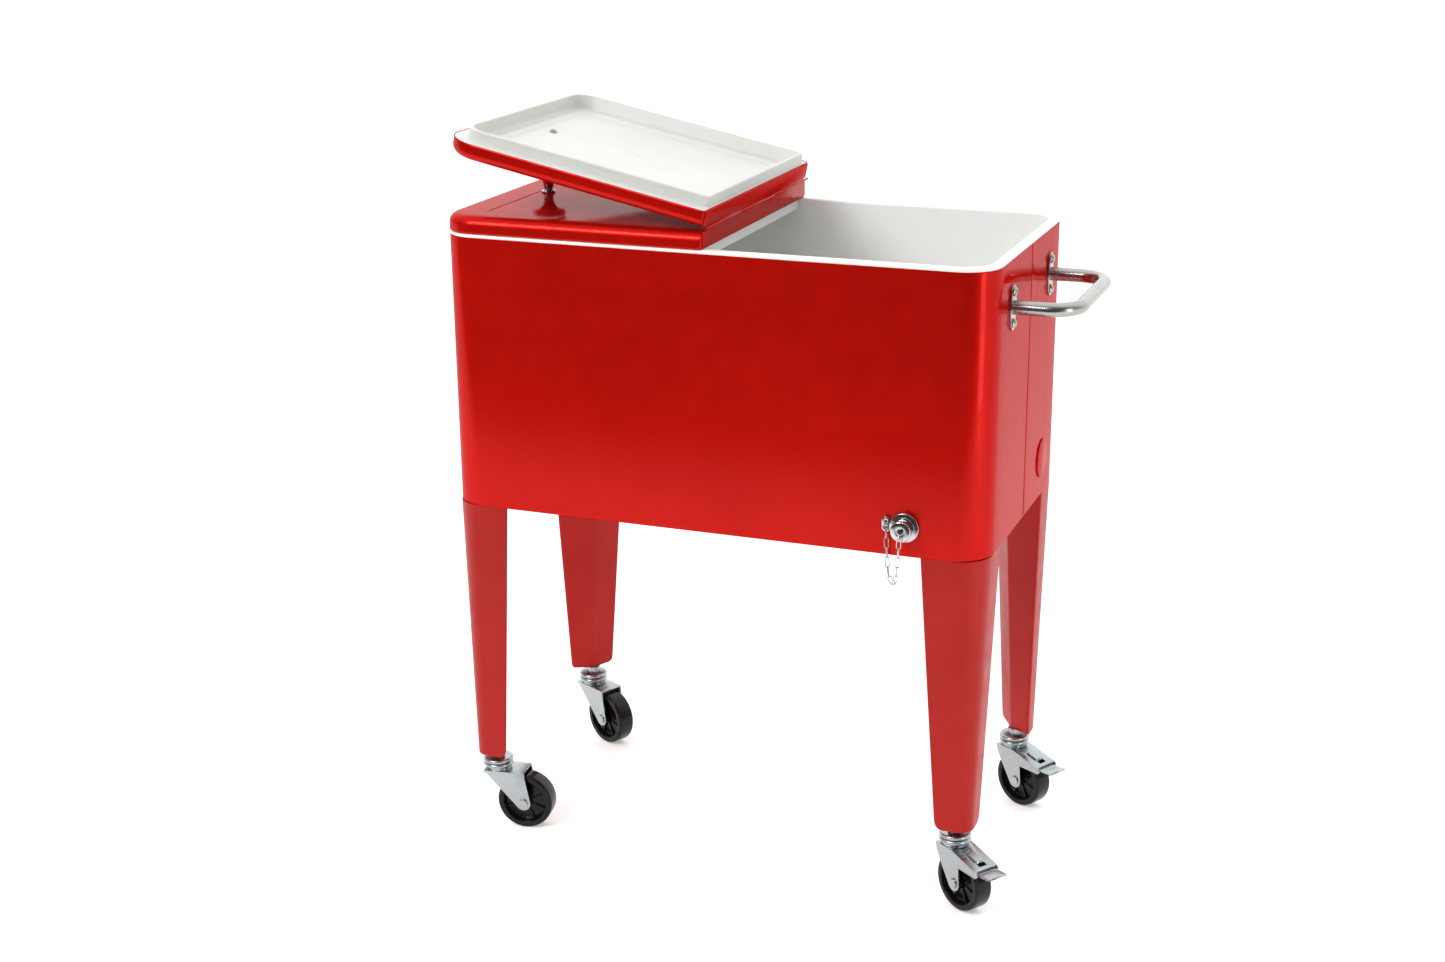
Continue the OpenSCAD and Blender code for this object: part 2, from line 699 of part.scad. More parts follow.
module fork(i) color(ZINC) at_caster(i) difference() {
    top_end = CASTERS[i][3] ? slope_from : trail(i) + 1.5;
    union() {
        for (s = [-1, 1])
            translate([0, s > 0 ? fork_half : -fork_half + fork_t, 0]) rotate([90, 0, 0])
                linear_extrude(fork_t) fork_side(i);
        translate([-16, -fork_half, fork_top - fork_t]) cube([16 + top_end, 2 * fork_half, fork_t]);
        if (CASTERS[i][3]) translate([0, fork_half, 0]) rotate([90, 0, 0]) difference() {
            linear_extrude(2 * fork_half) polygon([[slope_from, fork_top], slope_end,
                slope_end - [0, fork_t], [slope_from - 1, fork_top - fork_t]]);
            translate([44, 0, fork_half - 6]) linear_extrude(12) square([9, fork_top]);
        }
        rotate_extrude() {
            translate([0, fork_top - eps]) square([race_r - race_h / 2, race_lift + race_h + eps]);
            translate([race_r - race_h / 2, fork_top + race_lift + race_h / 2]) circle(race_h / 2);
        }
    }
    translate([0, 0, fork_top - 10]) cylinder(h = 40, r = kingpin_r + run_gap);
    translate([0, 0, fork_top - fork_t - 1])
        cylinder(h = fork_t + race_lift + race_h - 1, r = race_r - race_h);
    translate([wheel_at(i)[0], 0, wheel_r]) y_rod(-30, 30, axle_d / 2);
    if (CASTERS[i][3]) translate([pivot[0], 0, pivot[1]]) y_rod(-30, 30, brake_pin_r);
}

module axle(i) color(ZINC) at_caster(i) translate([trail(i), 0, wheel_r]) {
    y_rod(-fork_half - 1, fork_half + 1, axle_d / 2);
    for (s = [-1, 1]) y_rod(s * fork_half, s * (fork_half + 2), axle_d / 2 + 2);
}

// Wheel: tread with a recess on each side, a web, a hub and thin ribs
module wheel(i) color(BLACK) at_caster(i) translate([trail(i), 0, wheel_r]) rotate([90, 0, 0])
    difference() {
        half = wheel_w / 2;
        shoulder = 3;
        union() {
            rotate_extrude() {
                translate([rim_lip_r, -half + shoulder])
                    square([wheel_r - rim_lip_r, wheel_w - 2 * shoulder]);
                translate([rim_lip_r, -half]) square([wheel_r - shoulder - rim_lip_r, wheel_w]);
                for (s = [-1, 1]) translate([wheel_r - shoulder, s * (half - shoulder)]) circle(shoulder);
                translate([0, -web_half]) square([rim_lip_r + eps, 2 * web_half]);
                translate([0, -hub_half]) square([hub_r, 2 * hub_half]);
            }
            for (k = [0 : 7]) rotate([0, 0, 45 * k])
                translate([hub_r - 1, -0.75, -half + 3]) cube([rim_lip_r - hub_r + 2, 1.5, wheel_w - 6]);
        }
        translate([0, 0, -30]) cylinder(h = 60, r = axle_d / 2 + run_gap);
    }

module brake_pin(i) color(ZINC) at_caster(i) translate([pivot[0], 0, pivot[1]]) {
    for (s = [-1, 1]) y_rod(s * (pedal_half - pedal_t), s * fork_half, brake_pin_r);
}

// Toe pedal: a lever under the fork's sloping top, with side flanges on the two pin studs, a
// shoe over the tread and a flat lip
module brake_pedal(i) color(ZINC) at_caster(i) difference() {
    a = wheel_at(i);
    under = [0, fork_t + 0.7];
    down = [0, pedal_t];
    along = (slope_end - [slope_from, fork_top]) / (slope_end[0] - slope_from);
    top = [[slope_from, fork_top] + 30 * along - under, slope_end - under, [62, 66.2], [83, 66.5]];
    union() {
        translate([0, pedal_half, 0]) rotate([90, 0, 0]) linear_extrude(2 * pedal_half)
            polygon([top[0], top[1], top[2], top[3], top[3] - down, top[2] - down, top[1] - down,
                top[0] - down]);
        for (s = [-1, 1])
            translate([0, s > 0 ? pedal_half : -pedal_half + pedal_t, 0]) rotate([90, 0, 0])
                linear_extrude(pedal_t) {
                    polygon([pivot + [0, 4], top[0] - down / 2, top[1] - down / 2, top[1] - [1, 5], [44, 61],
                        pivot - [0, 4]]);
                    translate(pivot) circle(4);
                }
        translate([top[0][0], -pedal_half + eps, 62]) cube([6, 2 * pedal_half - 2 * eps, 7]);
    }
    translate([pivot[0], 0, pivot[1]]) y_rod(-30, 30, brake_pin_r + run_gap);
    translate([a[0], 0, a[1]]) y_rod(-wheel_w / 2 - 0.8, wheel_w / 2 + 0.8, wheel_r + shoe_gap);
}

outer_shell();
bottom_panel();
inner_liner();
foam_insulation();
leg(0);  // leg_fl
leg(1);  // leg_fr
leg(2);  // leg_bl
leg(3);  // leg_br
leg_bolts();
push_handle();
handle_plate(-1);  // handle_plate_front
handle_plate(1);  // handle_plate_back
handle_bolts();
handle_nuts();
drain_spout();
drain_nut();
drain_gasket();
chain_tab();
drain_chain();
drain_cap();
cap_seal();
cap_eye();
foam_port_plug();
lid_shell(-1);  // left_lid_shell
lid_tray(-1);  // left_lid_tray
lid_foam(-1);  // left_lid_foam
knob(-1);  // left_knob
knob_screw(-1);  // left_knob_screw
hinge_leaf(-1);  // left_hinge_leaf
hinge_pin();
lid_shell(1);  // right_lid_shell
lid_tray(1);  // right_lid_tray
lid_foam(1);  // right_lid_foam
knob(1);  // right_knob
knob_screw(1);  // right_knob_screw
hinge_leaf(1);  // right_hinge_leaf
caster_top(0);  // caster_top_fl
caster_top(1);  // caster_top_fr
caster_top(2);  // caster_top_bl
caster_top(3);  // caster_top_br
fork(0);  // fork_fl
fork(1);  // fork_fr
fork(2);  // fork_bl
fork(3);  // fork_br
axle(0);  // axle_fl
axle(1);  // axle_fr
axle(2);  // axle_bl
axle(3);  // axle_br
wheel(0);  // wheel_fl
wheel(1);  // wheel_fr
wheel(2);  // wheel_bl
wheel(3);  // wheel_br
brake_pedal(1);  // brake_pedal_fr
brake_pedal(3);  // brake_pedal_br
brake_pin(1);  // brake_pin_fr
brake_pin(3);  // brake_pin_br
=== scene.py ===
"""Rolling patio cooler chest: red steel tub, white liner, half lids, legs on casters, push handle, drain."""
import json
import math

import bmesh
import bpy
import numpy as np
from mathutils import Matrix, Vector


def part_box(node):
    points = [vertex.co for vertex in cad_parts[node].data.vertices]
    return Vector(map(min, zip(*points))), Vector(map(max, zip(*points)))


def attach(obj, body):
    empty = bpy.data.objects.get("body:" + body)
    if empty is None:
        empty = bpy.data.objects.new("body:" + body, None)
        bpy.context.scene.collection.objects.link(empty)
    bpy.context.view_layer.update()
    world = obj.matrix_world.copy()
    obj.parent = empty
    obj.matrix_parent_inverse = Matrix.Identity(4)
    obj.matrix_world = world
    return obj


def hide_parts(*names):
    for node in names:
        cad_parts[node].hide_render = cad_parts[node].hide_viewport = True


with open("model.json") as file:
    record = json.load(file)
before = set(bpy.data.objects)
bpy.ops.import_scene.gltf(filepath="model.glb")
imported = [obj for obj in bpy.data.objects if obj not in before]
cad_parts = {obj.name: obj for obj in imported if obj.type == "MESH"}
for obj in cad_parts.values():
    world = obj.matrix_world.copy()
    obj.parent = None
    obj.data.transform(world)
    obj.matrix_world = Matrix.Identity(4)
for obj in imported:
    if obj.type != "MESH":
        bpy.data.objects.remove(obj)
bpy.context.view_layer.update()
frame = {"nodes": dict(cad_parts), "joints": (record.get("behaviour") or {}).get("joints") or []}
scene = bpy.context.scene
joints = {j["name"]: j for j in frame["joints"]}
MM = 0.001

# ---- Camera ----
# A short telephoto view from the front right, a little above the rim.
CAMERA_AT = (0.9049, -2.4518, 1.3099)
CAMERA_YAW, CAMERA_PITCH, CAMERA_ROLL = 21.27, -17.82, -0.49
camera_data = bpy.data.cameras.new("camera")
camera_data.lens = 52.71
camera_data.sensor_width = 36
camera = bpy.data.objects.new("camera", camera_data)
turn = (
    Matrix.Rotation(math.radians(CAMERA_YAW), 4, "Z")
    @ Matrix.Rotation(math.radians(90 + CAMERA_PITCH), 4, "X")
    @ Matrix.Rotation(math.radians(CAMERA_ROLL), 4, "Z")
)
camera.matrix_world = Matrix.Translation(CAMERA_AT) @ turn
scene.collection.objects.link(camera)
scene.camera = camera

# ---- Studio ----
# White paper under the chest that gives way to a dark floor in front, under a sky that is brightest behind.
# A strip lamp draws long lights along the rolled edges, and a soft box at the right lights that corner.
FLOOR_HALF = 30
floor_mesh = bpy.data.meshes.new("floor")
floor_mesh.from_pydata([(x * FLOOR_HALF, y * FLOOR_HALF, 0) for x, y in ((-1, -1), (1, -1), (1, 1), (-1, 1))],
                       [], [(0, 1, 2, 3)])
floor = bpy.data.objects.new("floor", floor_mesh)
scene.collection.objects.link(floor)
PAPER_EDGE, DARK_FROM = -1.0, -1.9
floor_paper = bpy.data.materials.new("floor_paper")
floor_paper.use_nodes = True
tree = floor_paper.node_tree
floor_shader = tree.nodes["Principled BSDF"]
floor_shader.inputs["Roughness"].default_value = 0.9
floor_shader.inputs["Specular IOR Level"].default_value = 0.0
floor_shader.inputs["Emission Color"].default_value = (1, 1, 1, 1)
floor_place = tree.nodes.new("ShaderNodeTexCoord")
floor_axes = tree.nodes.new("ShaderNodeSeparateXYZ")
tree.links.new(floor_place.outputs["Object"], floor_axes.inputs["Vector"])
for low, high, socket in ((0.06, 0.95, "Base Color"), (0.0, 0.3, "Emission Strength")):
    fade = tree.nodes.new("ShaderNodeMapRange")
    fade.interpolation_type = "SMOOTHSTEP"
    fade.inputs["From Min"].default_value = DARK_FROM
    fade.inputs["From Max"].default_value = PAPER_EDGE
    fade.inputs["To Min"].default_value = low
    fade.inputs["To Max"].default_value = high
    tree.links.new(floor_axes.outputs["Y"], fade.inputs["Value"])
    tree.links.new(fade.outputs["Result"], floor_shader.inputs[socket])
floor_mesh.materials.append(floor_paper)

world = bpy.data.worlds.new("studio")
scene.world = world
world.use_nodes = True
sky = world.node_tree
SKY_LOW, SKY_HIGH = 0.10, 1.55
SKY_BRIGHTEST = (-0.1, 0.72, 0.69)
direction = sky.nodes.new("ShaderNodeTexCoord")
toward_bright = sky.nodes.new("ShaderNodeVectorMath")
toward_bright.operation = "DOT_PRODUCT"
toward_bright.inputs[1].default_value = SKY_BRIGHTEST
sweep = sky.nodes.new("ShaderNodeMapRange")
sweep.interpolation_type = "SMOOTHSTEP"
sweep.inputs["From Min"].default_value = -0.25
sweep.inputs["From Max"].default_value = 0.85
sweep.inputs["To Min"].default_value = SKY_LOW
sweep.inputs["To Max"].default_value = SKY_HIGH
sky.links.new(direction.outputs["Generated"], toward_bright.inputs[0])
sky.links.new(toward_bright.outputs["Value"], sweep.inputs["Value"])
sky.links.new(sweep.outputs["Result"], sky.nodes["Background"].inputs["Strength"])
sky.nodes["Background"].inputs["Color"].default_value = (1, 1, 1, 1)
scene.view_settings.view_transform = "Standard"


def soft_box(name, at, aim, size, power):
    """A rectangular lamp at a point, facing another point."""
    lamp = bpy.data.lights.new(name, "AREA")
    lamp.shape = "RECTANGLE"
    lamp.size, lamp.size_y = size
    lamp.energy = power
    box = bpy.data.objects.new(name, lamp)
    toward = np.array(aim, float) - np.array(at, float)
    side = np.cross(toward, (0, 0, 1))
    up = np.cross(side, toward)
    turn = np.stack([side / np.linalg.norm(side), up / np.linalg.norm(up),
                     -toward / np.linalg.norm(toward)], 1)
    box.matrix_world = Matrix.Translation(at) @ Matrix(turn.tolist()).to_4x4()
    box.visible_camera = False
    scene.collection.objects.link(box)


soft_box("front_strip", (-0.6, -2.2, 2.3), (0, 0, 0.75), (2.2, 0.1), 14)
soft_box("key_box", (-1.6, -3.2, 2.9), (0, 0, 0.5), (1.6, 1.6), 80)
soft_box("right_box", (2.3, -0.9, 0.7), (0.3, -0.1, 0.55), (0.6, 1.3), 10)

# ---- Tub shell ----
# One band of painted sheet steel, bent round a rounded rectangle and lap-seamed at the middle of
# the handle end. Its lower edge is turned in to a hem that the bottom panel sits in.
shell_low, shell_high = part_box("outer_shell")
TUB_CORNER = 44 * MM
SHEET = 1 * MM
ARC_STEPS = 12
SIDE_STEPS = 10


def rounded(points, radii, steps=6, closed=False):
    """A path with its corners turned into circle arcs: each arc is the rational quadratic curve from one
    tangent point to the other, whose middle weight is the cosine of half the turn. A radius of 0 keeps a
    corner."""
    points = np.asarray(points, float)
    radii = np.broadcast_to(np.asarray(radii, float), len(points)).copy()
    if not closed:
        radii[[0, -1]] = 0
    back = np.roll(points, 1, 0) - points
    on = np.roll(points, -1, 0) - points
    back_len = np.linalg.norm(back, axis=1).clip(1e-9)
    on_len = np.linalg.norm(on, axis=1).clip(1e-9)
    back, on = back / back_len[:, None], on / on_len[:, None]
    half_turn = (math.pi - np.arccos(np.clip((back * on).sum(1), -1, 1))) / 2
    reach = np.minimum(radii * np.tan(half_turn), 0.499 * np.minimum(back_len, on_len))
    start, end = points + back * reach[:, None], points + on * reach[:, None]
    s = np.linspace(0, 1, steps)[None, :, None]
    middle = 2 * s * (1 - s) * np.cos(half_turn)[:, None, None]
    share = (1 - s) ** 2 + middle + s ** 2
    arcs = ((1 - s) ** 2 * start[:, None] + middle * points[:, None] + s ** 2 * end[:, None]) / share
    keep = np.ones(arcs.shape[:2], bool)
    keep[radii == 0, 1:] = False
    return arcs[keep]


def plan(x0, x1, y0, y1, low_r, high_r):
    """A closed rounded rectangle as points, with as many points at every size: four quarter circles, of one
    radius at the low-x end and another at the high-x end, and evenly spaced points along the sides."""
    low_r, high_r = max(low_r, 0.05 * MM), max(high_r, 0.05 * MM)
    angles = np.linspace(0, math.pi / 2, ARC_STEPS)
    corners = ((x1, y0, high_r, -1, 1), (x1, y1, high_r, 0, 1),
               (x0, y1, low_r, 1, -1), (x0, y0, low_r, 2, -1))
    arcs = []
    for x, y, r, quarter, side in corners:
        centre = (x - side * r, y + (r if quarter in (-1, 2) else -r))
        a = angles + quarter * math.pi / 2
        arcs.append(np.stack([centre[0] + r * np.cos(a), centre[1] + r * np.sin(a)], 1))
    s = np.linspace(0, 1, SIDE_STEPS + 2)[1:-1, None]
    sides = [a[-1] * (1 - s) + b[0] * s for a, b in zip(arcs, arcs[1:] + arcs[:1])]
    return np.concatenate([part for pair in zip(arcs, sides) for part in pair])


def tub_plan(inset):
    """The tub's rounded rectangle, drawn inwards."""
    return plan(shell_low.x + inset, shell_high.x - inset, shell_low.y + inset, shell_high.y - inset,
                TUB_CORNER - inset, TUB_CORNER - inset)


def skin(points, close_u=False, close_v=False):
    """A grid of points as (points, quads). A closed direction joins its last row to its first."""
    u, v = points.shape[:2]
    index = np.arange(u * v).reshape(u, v)
    if close_u:
        index = np.concatenate([index, index[:1]])
    if close_v:
        index = np.concatenate([index, index[:, :1]], 1)
    quads = np.stack([index[:-1, :-1], index[1:, :-1], index[1:, 1:], index[:-1, 1:]], -1)
    return points.reshape(-1, 3), quads.reshape(-1, 4).tolist()


def level(loop, z):
    """A flat loop lifted to a height."""
    return np.column_stack([loop, np.full(len(loop), z)])


def stack(profile, loop_at):
    """Loops of a plan, one for each (inset, height) of a profile, as a grid."""
    return np.stack([level(loop_at(d), z) for d, z in profile])


def joined(*parts):
    """Several (points, faces) as one."""
    points, faces, base = [], [], 0
    for p, f in parts:
        points.append(p)
        faces += [[i + base for i in face] for face in f]
        base += len(p)
    return np.concatenate(points), faces


def dress(node, material, rounding=0.0):
    """Gives a node of the frame its material, with its faces smoothed and its edges rounded off if asked."""
    piece = frame["nodes"][node]
    piece.data.materials.clear()
    piece.data.materials.append(material)
    if rounding:
        piece.data.shade_smooth()
        piece.modifiers.new("weld", "WELD").merge_threshold = 1e-6
        edge = piece.modifiers.new("edge", "BEVEL")
        edge.width = rounding
        edge.segments = 3
        edge.limit_method = "ANGLE"
        edge.angle_limit = math.radians(35)
        edge.harden_normals = True


def make_piece(name, shape, material, body, nodes=(), crease=32, wall=0.0, bevel=0.0, flip=False):
    """A mesh object from (points, faces): doubles merged, faces turned outwards, smooth but for its creases,
    with a wall or a bevel if asked, riding on a body and standing for frame nodes."""
    points, faces = shape
    mesh = bpy.data.meshes.new(name)
    mesh.from_pydata(points.tolist(), [], faces)
    bm = bmesh.new()
    bm.from_mesh(mesh)
    bmesh.ops.remove_doubles(bm, verts=bm.verts, dist=1e-6)
    bmesh.ops.dissolve_degenerate(bm, edges=bm.edges, dist=1e-7)
    bmesh.ops.recalc_face_normals(bm, faces=bm.faces)
    if flip:
        bmesh.ops.reverse_faces(bm, faces=bm.faces)
    bm.to_mesh(mesh)
    bm.free()
    mesh.materials.append(material)
    mesh.shade_smooth()
    mesh.set_sharp_from_angle(angle=math.radians(crease))
    piece = bpy.data.objects.new(name, mesh)
    scene.collection.objects.link(piece)
    if wall:
        solid = piece.modifiers.new("wall", "SOLIDIFY")
        solid.thickness = abs(wall)
        solid.offset = -1 if wall > 0 else 1
    if bevel:
        edge = piece.modifiers.new("edge", "BEVEL")
        edge.width = bevel
        edge.segments = 3
        edge.limit_method = "ANGLE"
        edge.angle_limit = math.radians(crease)
        edge.harden_normals = True
    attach(piece, body)
    if nodes:
        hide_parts(*nodes)
    return piece


def shader_of(material):
    """A new material's node tree, its Principled shader, and its object coordinates."""
    material.use_nodes = True
    tree = material.node_tree
    place = tree.nodes.new("ShaderNodeTexCoord")
    return tree, tree.nodes["Principled BSDF"], place.outputs["Object"]


def noise(tree, place, scale, detail=2.0, stretch=None):
    """A noise texture on object coordinates, stretched if asked."""
    if stretch:
        mapping = tree.nodes.new("ShaderNodeMapping")
        mapping.inputs["Scale"].default_value = stretch
        tree.links.new(place, mapping.inputs["Vector"])
        place = mapping.outputs["Vector"]
    texture = tree.nodes.new("ShaderNodeTexNoise")
    texture.inputs["Scale"].default_value = scale
    texture.inputs["Detail"].default_value = detail
    tree.links.new(place, texture.inputs["Vector"])
    return texture.outputs["Fac"]


def blend_colors(tree, value, low, high, value_low=0.3, value_high=0.7):
    """A colour ramp over a texture value."""
    ramp = tree.nodes.new("ShaderNodeValToRGB")
    ramp.color_ramp.elements[0].position = value_low
    ramp.color_ramp.elements[1].position = value_high
    ramp.color_ramp.elements[0].color = (*low, 1)
    ramp.color_ramp.elements[1].color = (*high, 1)
    tree.links.new(value, ramp.inputs["Fac"])
    return ramp.outputs["Color"]


def spread(tree, value, low, high):
    """A texture value carried to a range."""
    ranged = tree.nodes.new("ShaderNodeMapRange")
    ranged.inputs["From Min"].default_value = 0.3
    ranged.inputs["From Max"].default_value = 0.7
    ranged.inputs["To Min"].default_value = low
    ranged.inputs["To Max"].default_value = high
    tree.links.new(value, ranged.inputs["Value"])
    return ranged.outputs["Result"]


def bump(tree, shader, value, strength, distance):
    """A bump from a texture value."""
    relief = tree.nodes.new("ShaderNodeBump")
    relief.inputs["Strength"].default_value = strength
    relief.inputs["Distance"].default_value = distance
    tree.links.new(value, relief.inputs["Height"])
    tree.links.new(relief.outputs["Normal"], shader.inputs["Normal"])
    if "Coat Normal" in shader.inputs and shader.inputs["Coat Weight"].default_value > 0:
        tree.links.new(relief.outputs["Normal"], shader.inputs["Coat Normal"])


red_paint = bpy.data.materials.new("red_paint")
tree, shader, place = shader_of(red_paint)
shader.inputs["Specular IOR Level"].default_value = 0.0
shader.inputs["Metallic"].default_value = 0.5
shader.inputs["Specular Tint"].default_value = (0.5, 0.01, 0.006, 1)
shader.inputs["Coat Weight"].default_value = 0.35
shader.inputs["Coat Roughness"].default_value = 0.05
shader.inputs["Coat IOR"].default_value = 1.3
tree.links.new(blend_colors(tree, noise(tree, place, 5), (0.49, 0.0062, 0.0030), (0.55, 0.0076, 0.0038)),
               shader.inputs["Base Color"])
tree.links.new(spread(tree, noise(tree, place, 40), 0.32, 0.42), shader.inputs["Roughness"])
bump(tree, shader, noise(tree, place, 420, 1.0), 0.05, 0.0004)

HEM_TURN = 6 * MM
hem_profile = [(SHEET, shell_high.z), (0, shell_high.z), (0, shell_low.z), (HEM_TURN, shell_low.z),
               (HEM_TURN, shell_low.z + SHEET), (SHEET, shell_low.z + SHEET)]
shell_profile = rounded(hem_profile, [0.3 * MM, 0.4 * MM, 2.4 * MM, 0.4 * MM, 0.4 * MM, 1.4 * MM],
                        closed=True)
shell_points = stack(shell_profile, tub_plan)
make_piece("tub_shell", skin(shell_points, True, True), red_paint, "chest", ["outer_shell"])

# The lap of the seam: a narrow raised strip of the same sheet, spot-welded down the handle end.
SEAM_LAP, SEAM_RISE = 16 * MM, 0.5 * MM
seam_section = rounded([(0, SEAM_RISE), (SEAM_LAP, SEAM_RISE * 0.2), (SEAM_LAP, -SHEET), (0, -SHEET)],
                       [0.35 * MM, 0, 0, 0], closed=True)
seam_levels = np.linspace(shell_low.z + 3 * MM, shell_high.z - 0.3 * MM, 12)
seam_points = np.stack([np.column_stack([shell_high.x + seam_section[:, 1] - 0.02 * MM, seam_section[:, 0],
                                         np.full(len(seam_section), z)]) for z in seam_levels])
seam_grid = skin(seam_points, False, True)
seam_caps = [list(range(len(seam_section))), list(range(len(seam_points.reshape(-1, 3)) - len(seam_section),
                                                     len(seam_points.reshape(-1, 3))))]
make_piece("tub_seam", (seam_grid[0], seam_grid[1] + seam_caps), red_paint, "chest")

dress("bottom_panel", red_paint)

# ---- Liner ----
# One white moulding: a rim with rounded edges that caps the shell, walls with a little draft and a
# deep fillet round the floor. The wall is full thickness inside the rim.
liner_low, liner_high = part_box("inner_liner")
RIM_WIDTH = 13 * MM
LINER_WALL = 2.5 * MM
FLOOR_FILLET = 18 * MM
DRAFT = 2 * MM
tub_floor = liner_low.z + LINER_WALL

white_plastic = bpy.data.materials.new("white_plastic")
tree, shader, place = shader_of(white_plastic)
shader.inputs["Roughness"].default_value = 0.34
shader.inputs["IOR"].default_value = 1.46
shader.inputs["Subsurface Weight"].default_value = 0.08
shader.inputs["Subsurface Scale"].default_value = 0.004
tree.links.new(blend_colors(tree, noise(tree, place, 7), (0.86, 0.868, 0.85), (0.90, 0.905, 0.885)),
               shader.inputs["Base Color"])
bump(tree, shader, noise(tree, place, 160, 2.0), 0.06, 0.0003)

tray_plastic = bpy.data.materials.new("tray_plastic")
tree, shader, place = shader_of(tray_plastic)
shader.inputs["Roughness"].default_value = 0.42
shader.inputs["IOR"].default_value = 1.46
shader.inputs["Subsurface Weight"].default_value = 0.1
shader.inputs["Subsurface Scale"].default_value = 0.004
tree.links.new(blend_colors(tree, noise(tree, place, 9), (0.635, 0.64, 0.605), (0.68, 0.685, 0.65)),
               shader.inputs["Base Color"])
bump(tree, shader, noise(tree, place, 140, 2.0), 0.08, 0.0003)

liner_profile = rounded(
    [(RIM_WIDTH - LINER_WALL, tub_floor + 40 * MM), (RIM_WIDTH - LINER_WALL, shell_high.z), (0, shell_high.z),
     (0, liner_high.z), (RIM_WIDTH, liner_high.z), (RIM_WIDTH + DRAFT, tub_floor), (110 * MM, tub_floor)],
    [0, 0.5 * MM, 1.2 * MM, 2.2 * MM, 3.2 * MM, FLOOR_FILLET, 0], 8)


def liner_plan(inset):
    """The liner's plan, which keeps a full corner radius well inside the tub."""
    return plan(shell_low.x + inset, shell_high.x - inset, shell_low.y + inset, shell_high.y - inset,
                max(TUB_CORNER - inset, 12 * MM), max(TUB_CORNER - inset, 12 * MM))


liner_points = stack(liner_profile, liner_plan)
liner_shape = skin(liner_points, False, True)
loop_size = liner_points.shape[1]
floor_face = list(range(len(liner_shape[0]) - loop_size, len(liner_shape[0])))
make_piece("liner", (liner_shape[0], liner_shape[1] + [floor_face]), white_plastic, "chest",
           ["inner_liner"])

foam = bpy.data.materials.new("foam")
tree, shader, place = shader_of(foam)
shader.inputs["Roughness"].default_value = 0.95
tree.links.new(blend_colors(tree, noise(tree, place, 60, 4), (0.62, 0.50, 0.24), (0.80, 0.70, 0.42)),
               shader.inputs["Base Color"])
bump(tree, shader, noise(tree, place, 900, 3), 0.4, 0.0008)
dress("foam_insulation", foam)

# ---- Legs ----
# Pressed sheet channels, wide at the tub and narrow at the foot. The outer corner follows the tub's,
# the wings fold back to a crease inside, and the foot's corners are rounded off.
CORNERS = {"fl": (-1, -1), "fr": (1, -1), "bl": (-1, 1), "br": (1, 1)}
LEG_TOP = np.array((1, 80.6, 53.7, 38)) * MM
LEG_FOOT = np.array((11, 59, 38.8, 18)) * MM
FOOT_ROUND = 11 * MM

leg_paint = bpy.data.materials.new("leg_paint")
tree, shader, place = shader_of(leg_paint)
shader.inputs["Specular IOR Level"].default_value = 0.18
shader.inputs["Metallic"].default_value = 0.2
tree.links.new(blend_colors(tree, noise(tree, place, 8), (0.36, 0.012, 0.009), (0.41, 0.016, 0.012)),
               shader.inputs["Base Color"])
tree.links.new(spread(tree, noise(tree, place, 40), 0.36, 0.46), shader.inputs["Roughness"])
bump(tree, shader, noise(tree, place, 420, 1.0), 0.05, 0.0004)


def leg_section(share, pull):
    """The leg's closed outline at a share of its height from the top: from wing end to wing end round the
    outer corner, and back to the crease. pull shortens the wings where the foot is rounded."""
    face, reach, crease, corner = LEG_TOP * (1 - share) + LEG_FOOT * share
    outline = [(face, reach - pull), (face, face), (reach - pull, face), (crease, crease)]
    return rounded(outline, [2.5 * MM, corner, 2.5 * MM, 8 * MM], 10, closed=True)


for corner, (side_x, side_y) in CORNERS.items():
    leg_low, leg_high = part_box("leg_" + corner)
    heights = np.concatenate([np.linspace(leg_high.z, leg_low.z + FOOT_ROUND, 24),
                              leg_low.z + FOOT_ROUND * (1 - np.sin(np.linspace(0, math.pi / 2, 9)[1:]))])
    shares = (leg_high.z - heights) / (leg_high.z - leg_low.z)
    rise = np.clip(1 - (heights - leg_low.z) / FOOT_ROUND, 0, 1)
    pulls = FOOT_ROUND * (1 - np.sqrt(1 - rise ** 2)) * 0.8
    rings = np.stack([level(leg_section(s, p), z) for s, p, z in zip(shares, pulls, heights)])
    rings[..., 0] = side_x * (shell_high.x - rings[..., 0])
    rings[..., 1] = side_y * (shell_high.y - rings[..., 1])
    count = rings.shape[1]
    grid = skin(rings, False, True)
    caps = [list(range(count)), list(range(len(grid[0]) - count, len(grid[0])))]
    make_piece("leg_panel_" + corner, (grid[0], grid[1] + caps), leg_paint, "chest", ["leg_" + corner])

# ---- Lids ----
# Two painted steel half lids with rolled edges, hinged to each other at the middle. Each has a pressed
# line near its outer end and a moulded white tray snapped into it, whose plug drops into the tub.
left_low, left_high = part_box("left_lid_shell")
LID_HEIGHT = left_high.z - left_low.z
LID_HALF = left_high.y
LID_ROLL = 12 * MM
HINGE_ROLL = 1.6 * MM
HINGE_CORNER = 5 * MM
GROOVE_FROM_END, GROOVE_HALF, GROOVE_WIDTH, GROOVE_DEPTH = 50 * MM, 154 * MM, 2.4 * MM, 0.7 * MM
hinge = joints["lid_hinge"]
hinge_at = np.array(hinge["pos_m"])
REST_ANGLE = math.radians(180 - hinge["range_deg"][1])
lid_axis_z = hinge_at[2] - left_low.z
lid_end = -left_low.x + hinge_at[0]
lid_hinge_end = hinge_at[0] - left_high.x


def edge_drop(distance, radius):
    """How far a rolled edge falls below the flat at a distance from it: the sagitta of its quarter circle."""
    return radius - np.sqrt(np.clip(radius ** 2 - np.clip(radius - distance, 0, radius) ** 2, 0, None))


